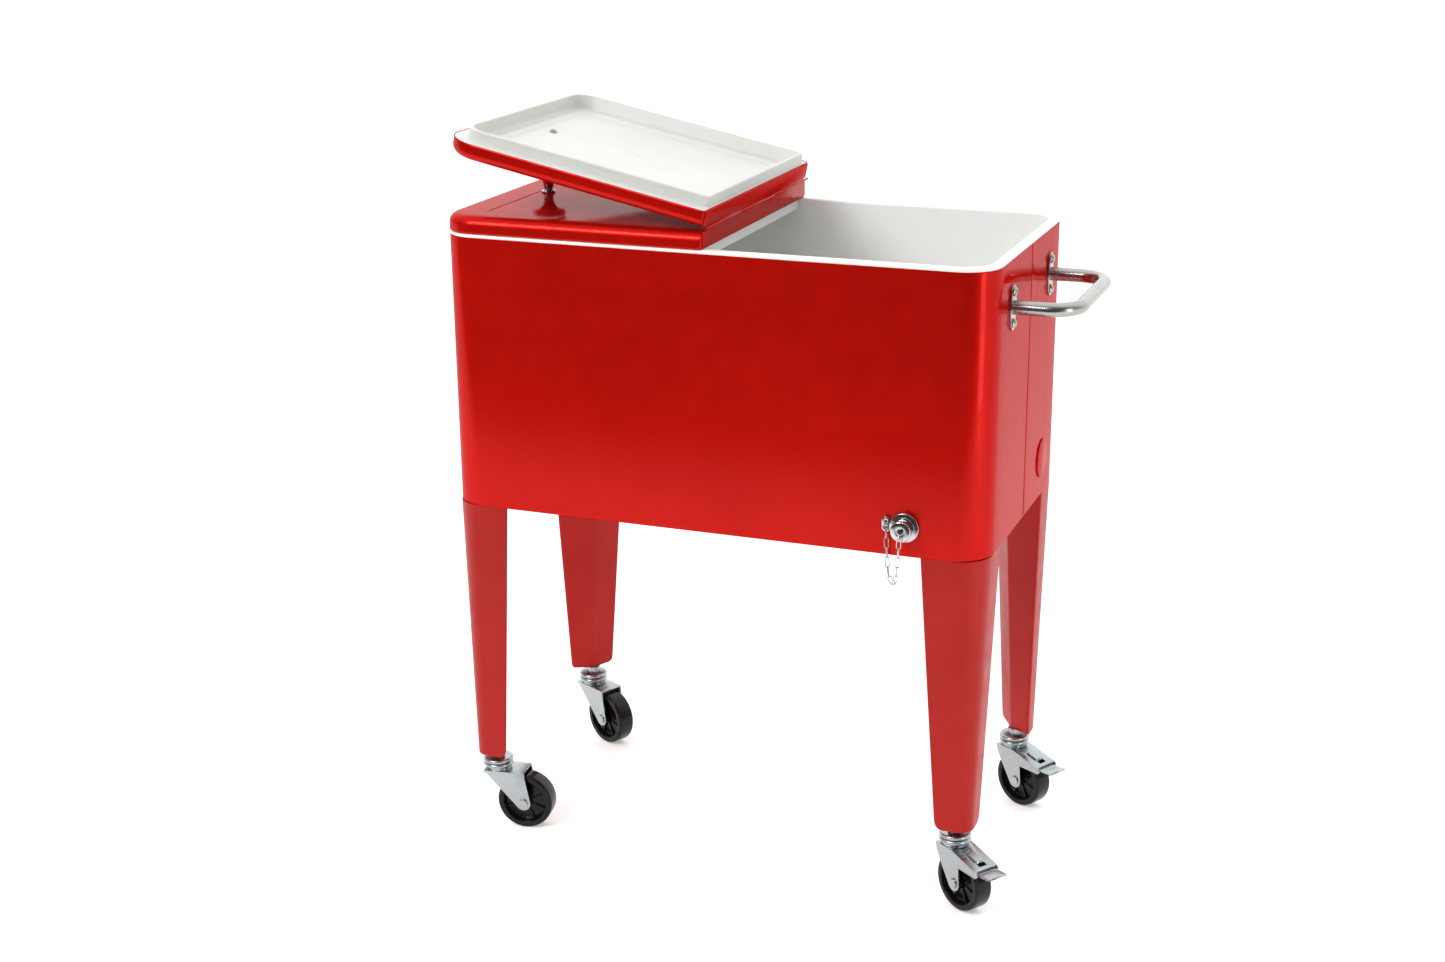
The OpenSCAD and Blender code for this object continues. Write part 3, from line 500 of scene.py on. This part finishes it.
def place_lid(points, right):
    """Carries points drawn from the hinge outwards, with the lower edge at zero, to the closed left lid or
    to the right one folded over it."""
    x, y, z = points[..., 0], points[..., 1], points[..., 2]
    if not right:
        return np.stack([hinge_at[0] - x, y, left_low.z + z], -1)
    fold = math.pi - REST_ANGLE
    up = z - lid_axis_z
    return np.stack([hinge_at[0] + x * math.cos(fold) - up * math.sin(fold), y,
                     hinge_at[2] + x * math.sin(fold) + up * math.cos(fold)], -1)


def lid_cover():
    """The lid's painted top and skirt. Rows run from the hinge to the outer end, columns from front to back;
    each row is as wide as the plan there, and the height is the flat less the nearest rolled edge's drop."""
    near = lid_hinge_end + HINGE_CORNER * (1 - np.cos(np.linspace(0, math.pi / 2, 8)))
    outer = lid_end - TUB_CORNER * (1 - np.sin(np.linspace(0, math.pi / 2, 30)))
    groove_x = lid_end - GROOVE_FROM_END
    groove_rows = groove_x + GROOVE_WIDTH * np.array([-0.8, -0.5, -0.25, 0, 0.25, 0.5, 0.8])
    flat = np.linspace(near[-1], groove_rows[0], 16)[1:-1]
    x = np.sort(np.concatenate([near, flat, groove_rows, outer]))
    outer_cut = TUB_CORNER - np.sqrt(
        np.clip(TUB_CORNER ** 2 - np.clip(x - lid_end + TUB_CORNER, 0, None) ** 2, 0, None))
    near_cut = HINGE_CORNER - np.sqrt(
        np.clip(HINGE_CORNER ** 2 - np.clip(lid_hinge_end + HINGE_CORNER - x, 0, None) ** 2, 0, None))
    width = LID_HALF - outer_cut - near_cut
    edge = 1 - np.cos(np.linspace(0, math.pi / 2, 12))
    inner_v = np.linspace(0, 1, 18)[1:-1]
    half_v = np.concatenate([-1 + edge * LID_ROLL / LID_HALF, -(1 - LID_ROLL / LID_HALF) * (1 - inner_v)])
    v = np.unique(np.round(np.concatenate([half_v, [0], -half_v]), 9))
    gx, gy = x[:, None] + 0 * v, width[:, None] * v
    from_centre = np.hypot(np.clip(gx - (lid_end - TUB_CORNER), 0, None),
                           np.clip(abs(gy) - (LID_HALF - TUB_CORNER), 0, None))
    to_edge = np.where((gx > lid_end - TUB_CORNER) | (abs(gy) > LID_HALF - TUB_CORNER),
                       TUB_CORNER - from_centre, 1.0)
    z = LID_HEIGHT - edge_drop(to_edge, LID_ROLL)
    z -= edge_drop(gx - lid_hinge_end, HINGE_ROLL)
    across = np.clip(1 - (2 * (gx - groove_x) / GROOVE_WIDTH) ** 2, 0, 1)
    along = np.clip((GROOVE_HALF - abs(gy)) / (3 * MM), 0, 1)
    z -= GROOVE_DEPTH * across * along
    top = np.stack([gx, gy, z], -1)
    loop = np.concatenate([top[:, 0], top[-1, 1:], top[-2::-1, -1], top[0, -2:0:-1]])
    drop = np.linspace(0, 1, 5)[:, None]
    skirt = np.stack([np.broadcast_to(loop[:, 0], (5, len(loop))),
                      np.broadcast_to(loop[:, 1], (5, len(loop))),
                      loop[:, 2] * (1 - drop)], -1)
    return top, skirt


TRAY_FLANGE_IN = 1.1 * MM
PLUG_INSET = 17 * MM
PLUG_HINGE_INSET = 4 * MM
PLUG_DROP = 14 * MM
PAN_FLOOR = 6 * MM
PLUG_CORNER = TUB_CORNER - PLUG_INSET
tray_profile = rounded(
    [(0, -0.4 * MM), (0.6 * MM, -PLUG_DROP), (4.6 * MM, -PLUG_DROP), (8 * MM, PAN_FLOOR - 2.4 * MM),
     (24 * MM, PAN_FLOOR - 2.4 * MM), (28 * MM, PAN_FLOOR), (100 * MM, PAN_FLOOR)],
    [0, 2.0 * MM, 1.6 * MM, 5 * MM, 5 * MM, 5 * MM, 0], 8)


def plug_plan(inset):
    """The plug's plan drawn inwards, with rounder corners as the pan goes in."""
    return plan(lid_hinge_end + PLUG_HINGE_INSET - 1.3 * MM + inset, lid_end - PLUG_INSET - inset,
                -LID_HALF + PLUG_INSET + inset, LID_HALF - PLUG_INSET - inset,
                max(5 * MM, 14 * MM * min(inset / (28 * MM), 1)), max(PLUG_CORNER - 0.35 * inset, 10 * MM))


def gate_mark(centre_x, z):
    """The round mark of the moulding gate: a shallow ring on the pan's floor, a half circle carried round."""
    around = np.linspace(0, 2 * math.pi, 40, endpoint=False)
    section = np.linspace(0, math.pi, 5)
    radius = 9 * MM + 1.2 * MM * np.cos(section)
    height = z - 0.35 * MM * np.sin(section)
    points = np.stack([centre_x + radius[:, None] * np.cos(around), radius[:, None] * np.sin(around),
                       np.broadcast_to(height[:, None], (5, 40))], -1)
    return skin(points, False, True)


CORE_HINGE_IN = 1.8 * MM
CORE_SECTION = ((1.8, 8.4), (1.8, 9.4), (11.0, 19.2))
for right in (False, True):
    side, body = ("right", "right_lid") if right else ("left", "left_lid")
    core = np.stack([level(plan(lid_hinge_end + CORE_HINGE_IN, lid_end - d * MM, -LID_HALF + d * MM,
                                LID_HALF - d * MM, HINGE_CORNER, TUB_CORNER - d * MM), z * MM)
                     for d, z in CORE_SECTION])
    grid = skin(place_lid(core, right), False, True)
    count = core.shape[1]
    caps = [list(range(count)), list(range(2 * count, 3 * count))]
    make_piece(side + "_lid_core", (grid[0], grid[1] + caps), foam, body, [side + "_lid_foam"])
    top, skirt = lid_cover()
    cover = joined(skin(place_lid(top, right)), skin(place_lid(skirt, right), False, True))
    make_piece(side + "_lid_cover", cover, red_paint, body, [side + "_lid_shell"], crease=40, wall=0.9 * MM)
    flange = level(plan(lid_hinge_end + TRAY_FLANGE_IN, lid_end - TRAY_FLANGE_IN, -LID_HALF + TRAY_FLANGE_IN,
                        LID_HALF - TRAY_FLANGE_IN, HINGE_CORNER, TUB_CORNER - TRAY_FLANGE_IN), 0.5 * MM)
    flange_edge = flange + (0, 0, 2 * MM)
    rows = np.concatenate([flange_edge[None], flange[None], stack(tray_profile, plug_plan)])
    tray = skin(place_lid(rows, right), False, True)
    count = rows.shape[1]
    pan_face = list(range(len(tray[0]) - count, len(tray[0])))
    mark, mark_faces = gate_mark((lid_hinge_end + lid_end) / 2, PAN_FLOOR)
    shape = joined((tray[0], tray[1] + [pan_face]), (place_lid(mark, right), mark_faces))
    make_piece(side + "_lid_liner", shape, tray_plastic, body, [side + "_lid_tray"], wall=1.6 * MM)

zinc = bpy.data.materials.new("zinc")
tree, shader, place = shader_of(zinc)
shader.inputs["Metallic"].default_value = 1.0
tree.links.new(blend_colors(tree, noise(tree, place, 22, 1), (0.34, 0.38, 0.39), (0.39, 0.43, 0.44)),
               shader.inputs["Base Color"])
tree.links.new(spread(tree, noise(tree, place, 130, 3), 0.24, 0.32), shader.inputs["Roughness"])
bump(tree, shader, noise(tree, place, 500, 1), 0.01, 0.0002)

dark_steel = bpy.data.materials.new("dark_steel")
tree, shader, place = shader_of(dark_steel)
shader.inputs["Metallic"].default_value = 1.0
tree.links.new(blend_colors(tree, noise(tree, place, 200), (0.05, 0.055, 0.055), (0.12, 0.12, 0.12)),
               shader.inputs["Base Color"])
shader.inputs["Roughness"].default_value = 0.38

for node, material in (("left_hinge_leaf", red_paint), ("right_hinge_leaf", red_paint),
                       ("hinge_pin", dark_steel), ("left_knob_screw", zinc), ("right_knob_screw", zinc),
                       ("leg_bolts", zinc), ("handle_nuts", zinc)):
    dress(node, material, 0.3 * MM)

# ---- Knobs ----
# Turned and chrome-plated: a foot ring, a slim neck and a hollow flare to a thick round-edged head.
chrome = bpy.data.materials.new("chrome")
tree, shader, place = shader_of(chrome)
shader.inputs["Metallic"].default_value = 1.0
tree.links.new(blend_colors(tree, noise(tree, place, 80), (0.44, 0.44, 0.44), (0.52, 0.52, 0.52)),
               shader.inputs["Base Color"])
tree.links.new(spread(tree, noise(tree, place, 250, 3), 0.04, 0.12), shader.inputs["Roughness"])

KNOB_REACH = 287 * MM


def lathe(profile, steps=64):
    """A profile of (radius, height) turned about the Z axis."""
    angle = np.linspace(0, 2 * math.pi, steps, endpoint=False)
    profile = np.asarray(profile, float)
    points = np.stack([profile[:, :1] * np.cos(angle), profile[:, :1] * np.sin(angle),
                       np.broadcast_to(profile[:, 1:], (len(profile), steps))], -1)
    return skin(points, False, True)


def knob_profile(height):
    """Foot ring, neck, and a flare that is a quarter ellipse, under a head with a half-round edge."""
    a = np.linspace(0, math.pi / 2, 12)
    rim = 6.6 * MM
    head_r, neck_r, neck_z = 22 * MM, 6.3 * MM, 7 * MM
    flare = np.stack([neck_r + (head_r - 3 * MM - neck_r) * (1 - np.cos(a)),
                      neck_z + (height - rim - neck_z) * np.sin(a)], 1)
    edge_a = np.linspace(-math.pi / 2, math.pi / 2, 12)
    edge = np.stack([head_r - rim / 2 + rim / 2 * np.cos(edge_a),
                     height - rim / 2 + rim / 2 * np.sin(edge_a)], 1)
    foot = rounded([(0, 0), (9 * MM, 0), (9 * MM, 2.2 * MM), (6.6 * MM, 3.4 * MM), (neck_r, 5 * MM)],
                   [0, 0.4 * MM, 0.9 * MM, 1 * MM, 0])
    crown = np.array([(head_r - 7 * MM, height - 0.3 * MM), (0, height - 0.3 * MM)])
    return np.concatenate([foot, flare, edge, crown])


for right in (False, True):
    side = "right" if right else "left"
    low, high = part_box(side + "_knob")
    knob_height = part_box("left_knob")[1].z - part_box("left_knob")[0].z
    points, faces = lathe(knob_profile(knob_height))
    points = place_lid(points + (KNOB_REACH, 0, LID_HEIGHT), right)
    make_piece(side + "_chrome_knob", (points, faces), chrome, side + "_lid", [side + "_knob"], crease=50)

# ---- Push handle ----
# A satin stainless tube bent to a U, welded to two oval plates that are bolted to the tub's end.
satin_steel = bpy.data.materials.new("satin_steel")
tree, shader, place = shader_of(satin_steel)
shader.inputs["Metallic"].default_value = 1.0
tree.links.new(blend_colors(tree, noise(tree, place, 30), (0.34, 0.335, 0.32), (0.38, 0.375, 0.36)),
               shader.inputs["Base Color"])
tree.links.new(spread(tree, noise(tree, place, 300, 3), 0.20, 0.30), shader.inputs["Roughness"])
bump(tree, shader, noise(tree, place, 500, 1), 0.015, 0.0002)


def tube(path, radius, around=32, closed=False):
    """A round tube carried along a flat path: rings in the plane of the path's mean direction and the path's
    constant side vector."""
    path = np.asarray(path, float)
    if closed:
        along = np.roll(path, -1, 0) - np.roll(path, 1, 0)
    else:
        along = np.gradient(path, axis=0)
    along /= np.linalg.norm(along, axis=1)[:, None]
    spread_of = path - path.mean(0)
    side = np.linalg.svd(spread_of, full_matrices=False)[2][2]
    other = np.cross(along, side)
    a = np.linspace(0, 2 * math.pi, around, endpoint=False)
    turned = np.cos(a)[None, :, None] * side + np.sin(a)[None, :, None] * other[:, None]
    return path[:, None] + radius * turned


handle_low, handle_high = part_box("push_handle")
TUBE_R = (handle_high.z - handle_low.z) / 2
handle_z = (handle_high.z + handle_low.z) / 2
bar_x = handle_high.x - TUBE_R
arm_y = handle_high.y - TUBE_R
BEND_R = 38 * MM
corner_path = rounded([(handle_low.x, -arm_y), (bar_x, -arm_y), (bar_x, arm_y), (handle_low.x, arm_y)],
                      [0, BEND_R, BEND_R, 0], 20)
handle_path = np.column_stack([corner_path, np.full(len(corner_path), handle_z)])
rings = tube(handle_path, TUBE_R)
inner = tube(handle_path, TUBE_R - 1.2 * MM)
handle_rings = np.concatenate([rings, inner[::-1]])
make_piece("handle_tube", skin(handle_rings, True, True), satin_steel, "chest", ["push_handle"], crease=50)

for node in ("handle_plate_front", "handle_plate_back", "handle_bolts"):
    dress(node, satin_steel, 0.7 * MM)

# ---- Drain ----
# A chrome spout with a dished flange, a screw cap on it, and a jack chain from the flange's ear to the
# swivel eye in the middle of the cap.
for node, rounding in (("drain_spout", 0.9), ("chain_tab", 0.3), ("drain_cap", 1.6), ("cap_eye", 0.3),
                       ("drain_chain", 0.05)):
    dress(node, chrome, rounding * MM)
dress("drain_nut", white_plastic)

rubber = bpy.data.materials.new("rubber")
tree, shader, place = shader_of(rubber)
shader.inputs["Roughness"].default_value = 0.7
tree.links.new(blend_colors(tree, noise(tree, place, 200), (0.012, 0.012, 0.012), (0.03, 0.03, 0.03)),
               shader.inputs["Base Color"])
for node in ("drain_gasket", "cap_seal"):
    dress(node, rubber)

dress("foam_port_plug", red_paint, 0.6 * MM)

# ---- Casters ----
# Zinc-plated pressed forks under two rolled raceway rings, on glossy black moulded wheels with a riveted
# axle. The two at the handle end have a toe pedal.
black_plastic = bpy.data.materials.new("black_plastic")
tree, shader, place = shader_of(black_plastic)
shader.inputs["IOR"].default_value = 1.3
tree.links.new(blend_colors(tree, noise(tree, place, 90), (0.004, 0.004, 0.004), (0.008, 0.008, 0.008)),
               shader.inputs["Base Color"])
tree.links.new(spread(tree, noise(tree, place, 150, 3), 0.14, 0.26), shader.inputs["Roughness"])
bump(tree, shader, noise(tree, place, 260, 2), 0.05, 0.0003)

wheel_side = rounded(
    [(4.05, 15), (9, 15), (9, 5), (27.5, 3), (29.5, 12.5), (37.5, 12.5), (37.5, 0)],
    [0, 1, 2, 3, 1.2, 3.2, 0], 6) * MM
wheel_profile = np.concatenate([wheel_side, (wheel_side * (1, -1))[::-1]])


def rib(angle):
    """One thin radial rib between the hub and the rim, on both faces of the web."""
    t, r0, r1, z = 0.7 * MM, 8 * MM, 28.5 * MM, 6.5 * MM
    x, y, w = np.meshgrid((r0, r1), (-t, t), (-z, z), indexing="ij")
    points = np.stack([x.ravel(), y.ravel(), w.ravel()], 1)
    c, s = math.cos(angle), math.sin(angle)
    points[:, :2] = points[:, :2] @ np.array([[c, s], [-s, c]])
    faces = [[0, 1, 3, 2], [4, 6, 7, 5], [0, 4, 5, 1], [2, 3, 7, 6], [0, 2, 6, 4], [1, 5, 7, 3]]
    return points, faces


for corner in CORNERS:
    roll = joints["roll_" + corner]
    axis = np.array(roll["axis"], float)
    across = np.cross(axis, (0, 0, 1))
    turn = np.stack([across, np.array((0, 0, 1.0)), axis])
    ribs = [rib(math.radians(22.5 + 45 * k)) for k in range(8)]
    points, faces = joined(lathe(wheel_profile, 96), *ribs)
    make_piece("caster_wheel_" + corner, (points @ turn + roll["pos_m"], faces), black_plastic,
               "wheel_" + corner, ["wheel_" + corner], crease=40)
    for node, rounding in (("caster_top_", 0.5), ("fork_", 0.6), ("axle_", 0.9)):
        dress(node + corner, zinc, rounding * MM)

PEDAL_HALF, PEDAL_SHEET = 15.3, 1.4
pedal_path = rounded([(42, 70.6), (58, 66.4), (65, 65.2), (78, 66.0), (84, 69.0)], [0, 6, 14, 12, 0], 7)
FLANGE_DROP = 7.0
LIP_ROUND = 8.0


def pedal_sheet():
    """The toe pedal as a grid in the caster's own frame: rows along the lever, columns from one side flange
    over the top to the other. The flanges fade out towards the lip, and the lip's end corners are rounded."""
    rows = []
    for u, z in pedal_path:
        flange = FLANGE_DROP * min(max((62 - u) / 12, 0.0), 1.0) + 0.3
        tail = min(max((u - (pedal_path[-1, 0] - LIP_ROUND)) / LIP_ROUND, 0.0), 1.0)
        half = PEDAL_HALF - LIP_ROUND * (1 - math.sqrt(1 - tail ** 2))
        section = [(-half, z - flange), (-half, z), (half, z), (half, z - flange)]
        bend = min(1.6, flange * 0.9)
        ends = rounded(section, [0, bend, bend, 0], 5)
        across = np.linspace(-half + bend, half - bend, 9)[1:-1]
        middle = np.stack([across, np.full(7, z)], 1)
        ring = np.concatenate([ends[:6], middle, ends[6:]])
        crown = 0.9 * min(max((u - 62) / 10, 0.0), 1.0) * (1 - (ring[:, 0] / PEDAL_HALF) ** 2)
        rows.append(np.column_stack([np.full(len(ring), u), ring[:, 0], ring[:, 1] + crown]))
    return np.stack(rows)


def strap():
    """The raised tongue pressed up from the fork's sloping top, open at its lower end."""
    run = rounded([(27.5, 77.2), (30.5, 78.6), (44, 75.3), (47, 72.4)], [0, 1.5, 2.5, 0], 5)
    half = np.array((-6.2, -5.2, 0, 5.2, 6.2))
    low = np.array((1.6, 0, 0, 0, 1.6))
    return np.stack([np.column_stack([np.full(5, u), half, z - low]) for u, z in run])


def to_caster(points, corner):
    """Carries points from the caster's own frame, in millimetres, to their place."""
    axis = np.array(joints["roll_" + corner]["axis"], float)
    heading = np.array((axis[1], -axis[0], 0))
    swivel = np.array(joints["swivel_" + corner]["pos_m"]) * (1, 1, 0)
    return swivel + MM * (points[..., :1] * heading + points[..., 1:2] * axis + points[..., 2:3] * (0, 0, 1))


for corner in ("fr", "br"):
    make_piece("toe_pedal_" + corner, skin(to_caster(pedal_sheet(), corner)), zinc, "brake_" + corner,
               ["brake_pedal_" + corner], crease=50, wall=PEDAL_SHEET * MM)
    make_piece("fork_strap_" + corner, skin(to_caster(strap(), corner)), zinc, "caster_" + corner, crease=50,
               wall=1.2 * MM)
    dress("brake_pin_" + corner, zinc, 0.4 * MM)
